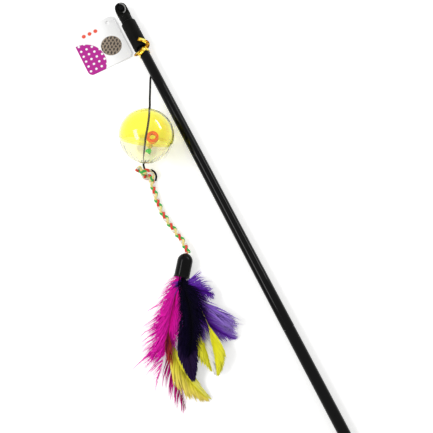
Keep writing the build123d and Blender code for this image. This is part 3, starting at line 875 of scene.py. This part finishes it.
# Feathers, lowest layer first: start angle and bend in degrees, length and width in millimetres, kind of
# barbs, dye, rise and droop of the rib in millimetres, and how full its two sides are from cap to tip, left
# and right as they are seen from the cap
feather_heads = ("start", "bend", "length", "width", "kind", "dye", "arch", "droop", "left", "right")
feather_rows = {
    "feather_crimson_long": (1, -32, 87, 10, "ragged", "crimson", 1.0, 2.0, (1.2, 0.8), (3.8, 1.8)),
    "feather_violet_long": (-30, -52, 56, 20, "fan", "violet", 5.0, 0.0, (2.9, 0.9), (2.0, 0.6)),
    "feather_yellow_left": (14, -80, 88, 12, "slim", "gold", 1.5, 1.0, (1.5, 1.8), (2.4, 1.7)),
    "feather_yellow_right": (-56, 48, 70, 11, "sickle", "yellow", 4.5, -2.8, (1.8, 1.7), (0.7, 0.5)),
    "feather_crimson_short": (3, -8, 48, 8, "soft", "ember", 4.0, -2.6, (2.4, 2.4), (0.5, 0.6)),
    "feather_yellow_middle": (-36, 10, 63, 11, "crescent", "pale", 1.0, 0.8, (2.2, 2.3), (3.3, 1.2)),
    "feather_pink": (-2, 5, 70, 21, "plume", "pink", 1.0, 2.2, (1.3, 0.15), (0.85, 1.55)),
    "feather_violet_short": (-80, -8, 24, 12, "tuft", "plum", 1.5, 0.0, (2.2, 0.7), (1.8, 1.5)),
    "feather_indigo_stiff": (-18, -5, 68, 10.5, "stiff", "indigo_vane", 1.0, 1.0, (2.1, 1.6), (2.1, 1.6)),
    "feather_indigo_fluffy": (-36, 36, 50, 18, "fluffy", "indigo", 4.5, 0.0, (1.2, 1.1), (0.5, 1.9)),
}
feathers = {name: dict(zip(feather_heads, row)) for name, row in feather_rows.items()}

# Dyes by their colours at the rib, along the barb and at its tip
dyes = {
    "pink": ((0.9, 0.005, 0.42), (1.0, 0.008, 0.5), (1.0, 0.03, 0.58)),
    "crimson": ((0.14, 0.002, 0.012), (0.42, 0.005, 0.1), (0.9, 0.03, 0.45)),
    "ember": ((0.05, 0.002, 0.02), (0.14, 0.003, 0.03), (0.62, 0.07, 0.015)),
    "violet": ((0.05, 0.004, 0.2), (0.16, 0.03, 0.5), (0.4, 0.26, 0.75)),
    "plum": ((0.03, 0.003, 0.12), (0.1, 0.01, 0.36), (0.26, 0.1, 0.62)),
    "yellow": ((0.8, 0.7, 0.02), (0.9, 0.86, 0.02), (0.9, 0.86, 0.06)),
    "gold": ((0.75, 0.65, 0.03), (0.88, 0.82, 0.04), (0.9, 0.86, 0.2)),
    "pale": ((0.9, 0.86, 0.35), (0.97, 0.96, 0.84), (0.98, 0.98, 0.93)),
    "indigo": ((0.0008, 0.0004, 0.002), (0.001, 0.0005, 0.005), (0.006, 0.002, 0.026)),
    "indigo_vane": ((0.006, 0.003, 0.012), (0.014, 0.005, 0.03), (0.018, 0.007, 0.045)),
}
# Dyes that are another colour on the feather's right
right_dyes = {
    "gold": ((0.75, 0.62, 0.03), (0.88, 0.78, 0.05), (0.92, 0.72, 0.16)),
    "pale": dyes["yellow"],
}
rib_colours = {
    "pink": (0.6, 0.01, 0.26),
    "crimson": (0.16, 0.01, 0.03),
    "violet": (0.03, 0.006, 0.09),
    "yellow": (0.6, 0.5, 0.12),
    "indigo": (0.001, 0.0005, 0.003),
}

# Ribs, and how their barbs lie
rib_steps = 60
rib_radius = 0.34 * mm
rib_taper_share = 0.8
rib_sides = 8
least_height = 0.25 * mm
least_reach = 0.02 * mm
vane_end_power = 0.6
lean_power = 4
thinned_share = 0.95
thinning_share = 0.3
underdown_share = 0.6
wisp_limit = 0.88
lock_fineness = 420.0
lock_swing = 4.0
ruffle_fineness = 160.0
ruffle_power = 1.5
fluff_softness = 0.5
feather_seed_step = 50
right_seed_step = 10
underdown_seed_step = 20
barb_inputs = {
    "NodeSocketObject": ("Left barb", "Right barb"),
    "NodeSocketInt": ("Barbs", "Seed"),
    "NodeSocketFloat": (
        "Angle", "Angle spread", "Lift", "Lift spread", "Length spread",
        "Wisps", "Locks", "Ruffle", "Lowest",
    ),
    "NodeSocketMaterial": ("Barb finish", "Rib finish"),
}

# One barb in shares of its length: width, thickness and curl, and its number of whiskers
barb_shapes = {
    "vane": (0.16, 0.012, 0.16, 0),
    "hair": (0.06, 0.008, 0.2, 0),
    "down": (0.045, 0.006, 0.2, 9),
}
barb_steps = 4
barb_taper_share = 0.94
barb_taper_power = 1.6
barb_dye_shares = (0.0, 0.3, 1.0)
whisker_first_share = 0.08
whisker_row_share = 0.86
whisker_reach_share = 0.09
whisker_spread_share = 0.1
whisker_taper_share = 0.55
whisker_turn = 2.4


def barb_mesh(name, hand, width, thickness, curl, whiskers):
    """One barb a metre long, bent towards the feather's tip, with whiskers along it where it is downy."""
    heap = Heap()
    rings = []
    along = []
    for step in range(barb_steps + 1):
        share = step / barb_steps
        place = Vector((share, hand * curl * share**2, 0))
        slimness = 1 - barb_taper_share * share**barb_taper_power
        half, rise = width / 2 * slimness, thickness / 2 * slimness
        offsets = (Vector((0, half, -rise)), Vector((0, 0, rise)), Vector((0, -half, -rise)))
        rings.append([place + offset for offset in offsets])
        along.extend([share] * len(offsets))
    heap.skin(rings)
    for whisker in range(whiskers):
        share = whisker_first_share + whisker_row_share * whisker / (whiskers - 1)
        foot = Vector((share, hand * curl * share**2, 0))
        turn = whisker_turn * whisker
        aside = Vector((0, cos(turn), sin(turn))) * whisker_spread_share
        aim = (Vector((whisker_reach_share, 0, 0)) + aside) * (1 - whisker_taper_share * share)
        first = len(heap.points)
        side = Vector((0, thickness / 2, 0))
        heap.points.extend((foot - side, foot + side, foot + Vector((0, 0, thickness / 2)), foot + aim))
        for corners in ((1, 0, 3), (2, 1, 3), (0, 2, 3), (0, 1, 2)):
            heap.face(tuple(first + corner for corner in corners), [(0, share)] * 3, 0)
        along.extend((share, share, share, min(1.0, share + whisker_spread_share)))
    mesh = heap.mesh(name, [])
    mesh.attributes.new("along", "FLOAT", "POINT").data.foreach_set("value", along)
    return shown(name, mesh)


class BarbTree:
    """Geometry nodes that set barbs along both sides of a rib."""

    def __init__(self):
        self.tree = bpy.data.node_groups.new("feather_barbs", "GeometryNodeTree")
        self.keys = {}
        self.tree.interface.new_socket(name="Geometry", in_out="INPUT", socket_type="NodeSocketGeometry")
        for kind, names in barb_inputs.items():
            for name in names:
                socket = self.tree.interface.new_socket(name=name, in_out="INPUT", socket_type=kind)
                self.keys[name] = socket.identifier
        self.tree.interface.new_socket(name="Geometry", in_out="OUTPUT", socket_type="NodeSocketGeometry")
        self.given = self.tree.nodes.new("NodeGroupInput").outputs
        self.build()

    def put(self, kind, values=None, output=0, **settings):
        """One output of a new node."""
        return put(self.tree, kind, values, **settings).outputs[output]

    def sum(self, operation, first, second=0.0):
        return self.put("ShaderNodeMath", {0: first, 1: second}, operation=operation)

    def turn(self, operation, first, second):
        return self.put("ShaderNodeVectorMath", {0: first, 1: second}, operation=operation)

    def stretch(self, vector, amount):
        return self.put("ShaderNodeVectorMath", {0: vector, "Scale": amount}, operation="SCALE")

    def kept(self, name):
        """A number kept at each point of the rib or of a barb."""
        return self.put("GeometryNodeInputNamedAttribute", {"Name": name}, data_type="FLOAT")

    def keep(self, geometry, name, value):
        values = {"Geometry": geometry, "Name": name, "Value": value}
        return self.put("GeometryNodeStoreNamedAttribute", values, data_type="FLOAT", domain="INSTANCE")

    def chance(self, seed_step):
        """A number from -1 to 1 for each barb."""
        seed = self.sum("ADD", self.given["Seed"], seed_step)
        values = {2: -1.0, 3: 1.0, "Seed": seed}
        return self.put("FunctionNodeRandomValue", values, 1, data_type="FLOAT")

    def draw(self, seed_step):
        """A number from 0 to 1 for each barb."""
        return self.sum("ADD", self.sum("MULTIPLY", self.chance(seed_step), 0.5), 0.5)

    def give_or_take(self, name, seed_step):
        """A barb's own part of a spread."""
        return self.sum("MULTIPLY", self.given[name], self.chance(seed_step))

    def in_locks(self, name, seed_step):
        """A barb's part of a spread, shared with its neighbours where barbs hold together in locks."""
        place = self.put("GeometryNodeInputPosition")
        seed = self.sum("ADD", self.given["Seed"], seed_step)
        values = {"Vector": place, "W": seed, "Scale": lock_fineness}
        wave = self.put("ShaderNodeTexNoise", values, noise_dimensions="4D")
        shared = self.sum("MULTIPLY", self.sum("SUBTRACT", wave, 0.5), lock_swing)
        values = {0: self.given["Locks"], 2: self.chance(seed_step), 3: shared}
        part = self.put("ShaderNodeMix", values, data_type="FLOAT")
        return self.sum("MULTIPLY", self.given[name], part)

    def longer(self, seed_step):
        """How much longer than its neighbours a barb is; a few stand out as wisps."""
        wisp = self.sum("GREATER_THAN", self.chance(seed_step + 1), wisp_limit)
        spare = self.sum("MULTIPLY", self.given["Wisps"], wisp)
        own = self.sum("ADD", self.give_or_take("Length spread", seed_step), 1.0)
        return self.sum("ADD", own, spare)

    def barbs(self, rib, side, length_share, seed_step):
        """One row of barbs on one side of the rib."""
        side_name = "left" if side > 0 else "right"
        heading = self.put("GeometryNodeInputTangent")
        outward = self.stretch(self.turn("CROSS_PRODUCT", tuple(up), heading), side)
        leant = self.sum("MULTIPLY", self.given["Angle"], self.kept("lean"))
        angle = self.sum("ADD", leant, self.in_locks("Angle spread", seed_step))
        lift = self.sum("ADD", self.given["Lift"], self.give_or_take("Lift spread", seed_step + 1))
        forward = self.stretch(heading, self.sum("COSINE", angle))
        level = self.turn("ADD", forward, self.stretch(outward, self.sum("SINE", angle)))
        aim = self.turn("ADD", level, self.stretch(tuple(up), self.sum("TANGENT", lift)))
        axes = {"Primary Axis": aim, "Secondary Axis": tuple(up)}
        rotation = self.put("FunctionNodeAxesToRotation", axes, primary_axis="X", secondary_axis="Z")
        share = self.sum("MULTIPLY", self.longer(seed_step + 2), length_share)
        reach = self.sum("MULTIPLY", self.kept("reach_" + side_name), share)
        shape = self.given[side_name.title() + " barb"]
        barb = self.put("GeometryNodeObjectInfo", {"Object": shape}, "Geometry")
        values = {
            "Points": rib, "Instance": barb, "Rotation": rotation,
            "Scale": self.stretch((1.0, 1.0, 1.0), reach),
            "Selection": self.sum("GREATER_THAN", self.draw(seed_step + 5), self.kept("missing")),
        }
        row = self.put("GeometryNodeInstanceOnPoints", values)
        row = self.keep(row, "shade", self.draw(seed_step + 4))
        return self.keep(row, "left_side", 1.0 if side > 0 else 0.0)

    def ruffled(self, barbs):
        """Barbs waved in clumps, more towards their tips, and kept off the table."""
        place = self.put("GeometryNodeInputPosition")
        seed = self.put("ShaderNodeCombineXYZ", {0: self.given["Seed"]})
        clump = self.turn("ADD", self.stretch(place, ruffle_fineness), seed)
        wave = self.put("ShaderNodeTexNoise", {"Vector": clump, "Scale": 1.0, "Detail": 2.0}, "Color")
        tip_share = self.sum("POWER", self.kept("along"), ruffle_power)
        amount = self.sum("MULTIPLY", tip_share, self.given["Ruffle"])
        shift = self.stretch(self.turn("SUBTRACT", wave, (0.5, 0.5, 0.5)), amount)
        moved = self.put("GeometryNodeSetPosition", {"Geometry": barbs, "Offset": shift})
        split = put(self.tree, "ShaderNodeSeparateXYZ", {0: place}).outputs
        height = self.sum("MAXIMUM", split["Z"], self.given["Lowest"])
        raised = self.put("ShaderNodeCombineXYZ", {0: split["X"], 1: split["Y"], 2: height})
        return self.put("GeometryNodeSetPosition", {"Geometry": moved, "Position": raised})

    def joined(self, parts):
        """Several parts as one real mesh."""
        join = put(self.tree, "GeometryNodeJoinGeometry")
        for part in parts:
            self.tree.links.new(part, join.inputs[0])
        return self.put("GeometryNodeRealizeInstances", {"Geometry": join.outputs[0]})

    def build(self):
        """Join the rib, as a tapered tube, and its rows of barbs, each in its own finish."""
        rib = self.put("GeometryNodeMeshToCurve", {"Mesh": self.given["Geometry"]})
        spread = self.put("GeometryNodeResampleCurve", {"Curve": rib, "Count": self.given["Barbs"]})
        rows = []
        for side, first_seed in ((1.0, 0), (-1.0, right_seed_step)):
            for length_share, seed_step in ((1.0, 0), (underdown_share, underdown_seed_step)):
                rows.append(self.barbs(spread, side, length_share, first_seed + seed_step))
        barbs = self.joined(rows)
        values = {"Geometry": self.ruffled(barbs), "Material": self.given["Barb finish"]}
        barbs = self.put("GeometryNodeSetMaterial", values)
        ring = self.put("GeometryNodeCurvePrimitiveCircle", {"Resolution": rib_sides, "Radius": 1.0})
        values = {"Curve": rib, "Profile Curve": ring, "Scale": self.kept("rib_radius"), "Fill Caps": True}
        rib_tube = self.put("GeometryNodeCurveToMesh", values)
        values = {"Geometry": rib_tube, "Material": self.given["Rib finish"]}
        rib_tube = self.put("GeometryNodeSetMaterial", values)
        put(self.tree, "NodeGroupOutput", {0: self.joined((barbs, rib_tube))})


def rib_line(name):
    """Places along a feather's rib: the glue in the cap, the cap's mouth and on to its tip."""
    layer = list(feathers).index(name)
    look = feathers[name]
    column = 1 if layer % 2 == 0 else -1
    height = up * (layer_pitch * (layer - (len(feathers) - 1) / 2))
    quill = cap_start + cap_left * (quill_column_offset * column) + height
    line = [quill + cap_direction * quill_start, quill + cap_direction * cap_length]
    place = quill + cap_direction * (cap_length + neck_straight)
    line.append(place)
    for step in range(rib_steps):
        angle = radians(look["start"] + look["bend"] * (step + 0.5) / rib_steps)
        stride = look["length"] * mm / rib_steps
        place = place + (cap_direction * cos(angle) + cap_left * sin(angle)) * stride
        share = (step + 1) / rib_steps
        rise = (look["arch"] * sin(pi * share) - look["droop"] * share**2) * mm
        line.append(Vector((place.x, place.y, max(least_height + rib_radius, place.z + rise))))
    return line


def rib_mesh(name, line, kind):
    """The rib's line, with the barbs' reach and lean and the rib's own thickness kept along it."""
    look = feathers[name]
    width = look["width"] * mm
    distances = way_along(line)
    mesh = bpy.data.meshes.new(name)
    mesh.from_pydata(line, [(step, step + 1) for step in range(len(line) - 1)], [])
    kept = {"reach_left": [], "reach_right": [], "lean": [], "missing": [], "rib_radius": []}
    for step, distance in enumerate(distances):
        share = max(0.0, distance - distances[1]) / (distances[-1] - distances[1])
        filled = min(1.0, max(0.0, (share - kind["begins"]) / (kind["full"] - kind["begins"])))
        rounded = (1 - min(1.0, share / kind["ends"]) ** kind["roundness"]) ** vane_end_power
        vane = filled * filled * (3 - 2 * filled) * rounded
        outside_cap = 1 if step > 0 else 0
        reach = width / 2 / sin(radians(kind["angle"])) * vane * outside_cap
        for side in ("left", "right"):
            at_cap, at_tip = look[side]
            kept["reach_" + side].append(max(least_reach, reach * (at_cap + (at_tip - at_cap) * share)))
        kept["lean"].append(1 - kind["lean"] * share**lean_power)
        kept["missing"].append(thinned_share * min(1.0, max(0.0, (share - kind["thins"]) / thinning_share)))
        kept["rib_radius"].append(rib_radius * (1 - rib_taper_share * share))
    for key, values in kept.items():
        mesh.attributes.new(key, "FLOAT", "POINT").data.foreach_set("value", values)
    return mesh


def feather(name, barbs, tree, dye, rib):
    """One feather: a tapered rib with barbs along both its sides."""
    kind = barb_kinds[feathers[name]["kind"]]
    piece = shown(name + "_barbs", rib_mesh(name, rib_line(name), kind))
    modifier = piece.modifiers.new("barbs", "NODES")
    modifier.node_group = tree.tree
    left, right = barbs[kind["barb"]]
    seed = list(feathers).index(name) * feather_seed_step
    inputs = {
        "Left barb": left, "Right barb": right, "Barbs": kind["count"], "Seed": seed,
        "Angle": radians(kind["angle"]), "Angle spread": radians(kind["angle_spread"]),
        "Lift": radians(kind["lift"]), "Lift spread": radians(kind["lift_spread"]),
        "Length spread": kind["length_spread"], "Wisps": kind["wisps"], "Locks": kind["locks"],
        "Ruffle": kind["ruffle"] * mm, "Lowest": least_height,
        "Barb finish": dye, "Rib finish": rib,
    }
    for key, value in inputs.items():
        modifier[tree.keys[key]] = value
    bpy.context.view_layer.update()
    evaluated = piece.evaluated_get(bpy.context.evaluated_depsgraph_get())
    made = bpy.data.meshes.new_from_object(evaluated)
    piece.modifiers.clear()
    piece.data = made
    made.shade_smooth()
    normals = []
    for vertex in made.vertices:
        normals.append((vertex.normal * (1 - fluff_softness) + up * fluff_softness).normalized())
    made.normals_split_custom_set_from_vertices(normals)
    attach(piece, "feathers")
    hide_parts(name)
    "_".join(name.split("_")[:2])


def feather_bunch():
    """All ten feathers in their dyes."""
    barbs = {}
    for name, shape in barb_shapes.items():
        barbs[name] = (barb_mesh(name + "_left", -1, *shape), barb_mesh(name + "_right", 1, *shape))
    tree = BarbTree()
    finishes = {}
    for name, dye in dyes.items():
        finishes[name] = barb_finish("barbs_" + name, dye, right_dyes.get(name, dye))
    ribs = {name: rib_finish("rib_" + name, colour) for name, colour in rib_colours.items()}
    for name, look in feathers.items():
        feather(name, barbs, tree, finishes[look["dye"]], ribs[name.split("_")[1]])
    for pair in barbs.values():
        for barb in pair:
            bpy.data.objects.remove(barb)


def dress_node(node, material):
    """Give a shown CAD node its finish."""
    mesh = frame["nodes"][node].data
    mesh.materials.clear()
    mesh.materials.append(material)


def seen_white(tree):
    """1 for rays that see the background: from the camera, in gloss and through clear plastic."""
    rays = put(tree, "ShaderNodeLightPath").outputs
    seen = rays["Is Camera Ray"]
    for other in ("Is Glossy Ray", "Is Transmission Ray"):
        seen = put(tree, "ShaderNodeMath", {0: seen, 1: rays[other]}, operation="MAXIMUM").outputs[0]
    return seen


def table_and_sky():
    """White table that keeps the shadows, and a white sky."""
    heap = Heap()
    corners = [(x * table_half, y * table_half) for x, y in ((-1, -1), (1, -1), (1, 1), (-1, 1))]
    heap.points = [Vector((x, y, -table_drop)) for x, y in corners]
    heap.face((0, 1, 2, 3), corners, 0)
    values = {"Base Color": table_colour, "Roughness": 0.9, "Emission Color": (1, 1, 1, 1)}
    finish = Finish("table_white", values)
    finish.feed("Emission Strength", finish.sum("MULTIPLY", seen_white(finish.tree), table_glow))
    heap.piece("table", [finish.material])
    world = bpy.data.worlds.new("studio")
    world.use_nodes = True
    bpy.context.scene.world = world
    sky = world.node_tree.nodes["Background"]
    sky.inputs["Color"].default_value = (1, 1, 1, 1)
    seen = seen_white(world.node_tree)
    values = {"Value": seen, "To Min": sky_light, "To Max": sky_shown}
    strength = put(world.node_tree, "ShaderNodeMapRange", values).outputs["Result"]
    world.node_tree.links.new(strength, sky.inputs["Strength"])


def soft_light(name, place, width, length, power):
    """A soft box that shines from a place towards the lamps' aim."""
    light = bpy.data.lights.new(name, "AREA")
    light.shape = "RECTANGLE"
    light.size = width
    light.size_y = length
    light.energy = power
    lamp = bpy.data.objects.new(name, light)
    bpy.context.scene.collection.objects.link(lamp)
    lamp.location = place
    lamp.rotation_euler = (lamp_aim - place).to_track_quat("-Z", "Y").to_euler()


def studio():
    """Camera and lights."""
    lens = bpy.data.cameras.new("photo_camera")
    lens.sensor_fit = "HORIZONTAL"
    lens.angle = camera_view
    lens.clip_start = camera_near
    camera = bpy.data.objects.new("photo_camera", lens)
    bpy.context.scene.collection.objects.link(camera)
    camera.location = camera_place
    camera.rotation_euler = (camera_aim - camera_place).to_track_quat("-Z", "Y").to_euler()
    bpy.context.scene.camera = camera
    for name, lamp in lamps.items():
        soft_light(name, *lamp)
    bpy.context.scene.view_settings.view_transform = "Standard"


def clear_start():
    """Take away what a new Blender scene starts with."""
    for name in ("Cube", "Light", "Camera"):
        if name in bpy.data.objects:
            bpy.data.objects.remove(bpy.data.objects[name])


clear_start()
studio()
table_and_sky()

black_tube = tube_black()
black_vinyl = vinyl_black()
cover = braided_cover()
yarns = [
    yarn("yarn_red", (0.85, 0.05, 0.02)), yarn("yarn_yellow", (0.95, 0.82, 0.3)),
    yarn("yarn_green", (0.03, 0.48, 0.07)), yarn("yarn_white", (0.92, 0.88, 0.78)),
]
clear_shell = shell("shell_clear", (0.95, 0.94, 0.8))
shown_nodes = {
    "handle_tube": black_tube,
    "tip_tube": black_tube,
    "joint_spigot": black_tube,
    "butt_cap": black_vinyl,
    "tip_cap": black_vinyl,
    "tag_card": card_white(),
    "tag_loop": nylon_clear(),
    "ball_cap_yellow": shell("shell_yellow", (0.98, 0.95, 0.2)),
    "bead_orange": bead("bead_orange", (0.95, 0.1, 0.01)),
    "bead_yellow": bead("bead_yellow", (0.9, 0.6, 0.05)),
    "bead_green": bead("bead_green", (0.0, 0.62, 0.02)),
    "feather_cap": cap_black(),
    "braid_end": yarns[0],
    "glue_plug": glue_clear(),
}
for node, material in shown_nodes.items():
    dress_node(node, material)

elastic(cover)
elastic_tail(cover)
stop_knot(cover)
eye_lip(lip_painted_highlight())
braid(yarns)
knot(yarns)
ball_cup(clear_shell)
twist_tie(foil_gold())
feather_bunch()
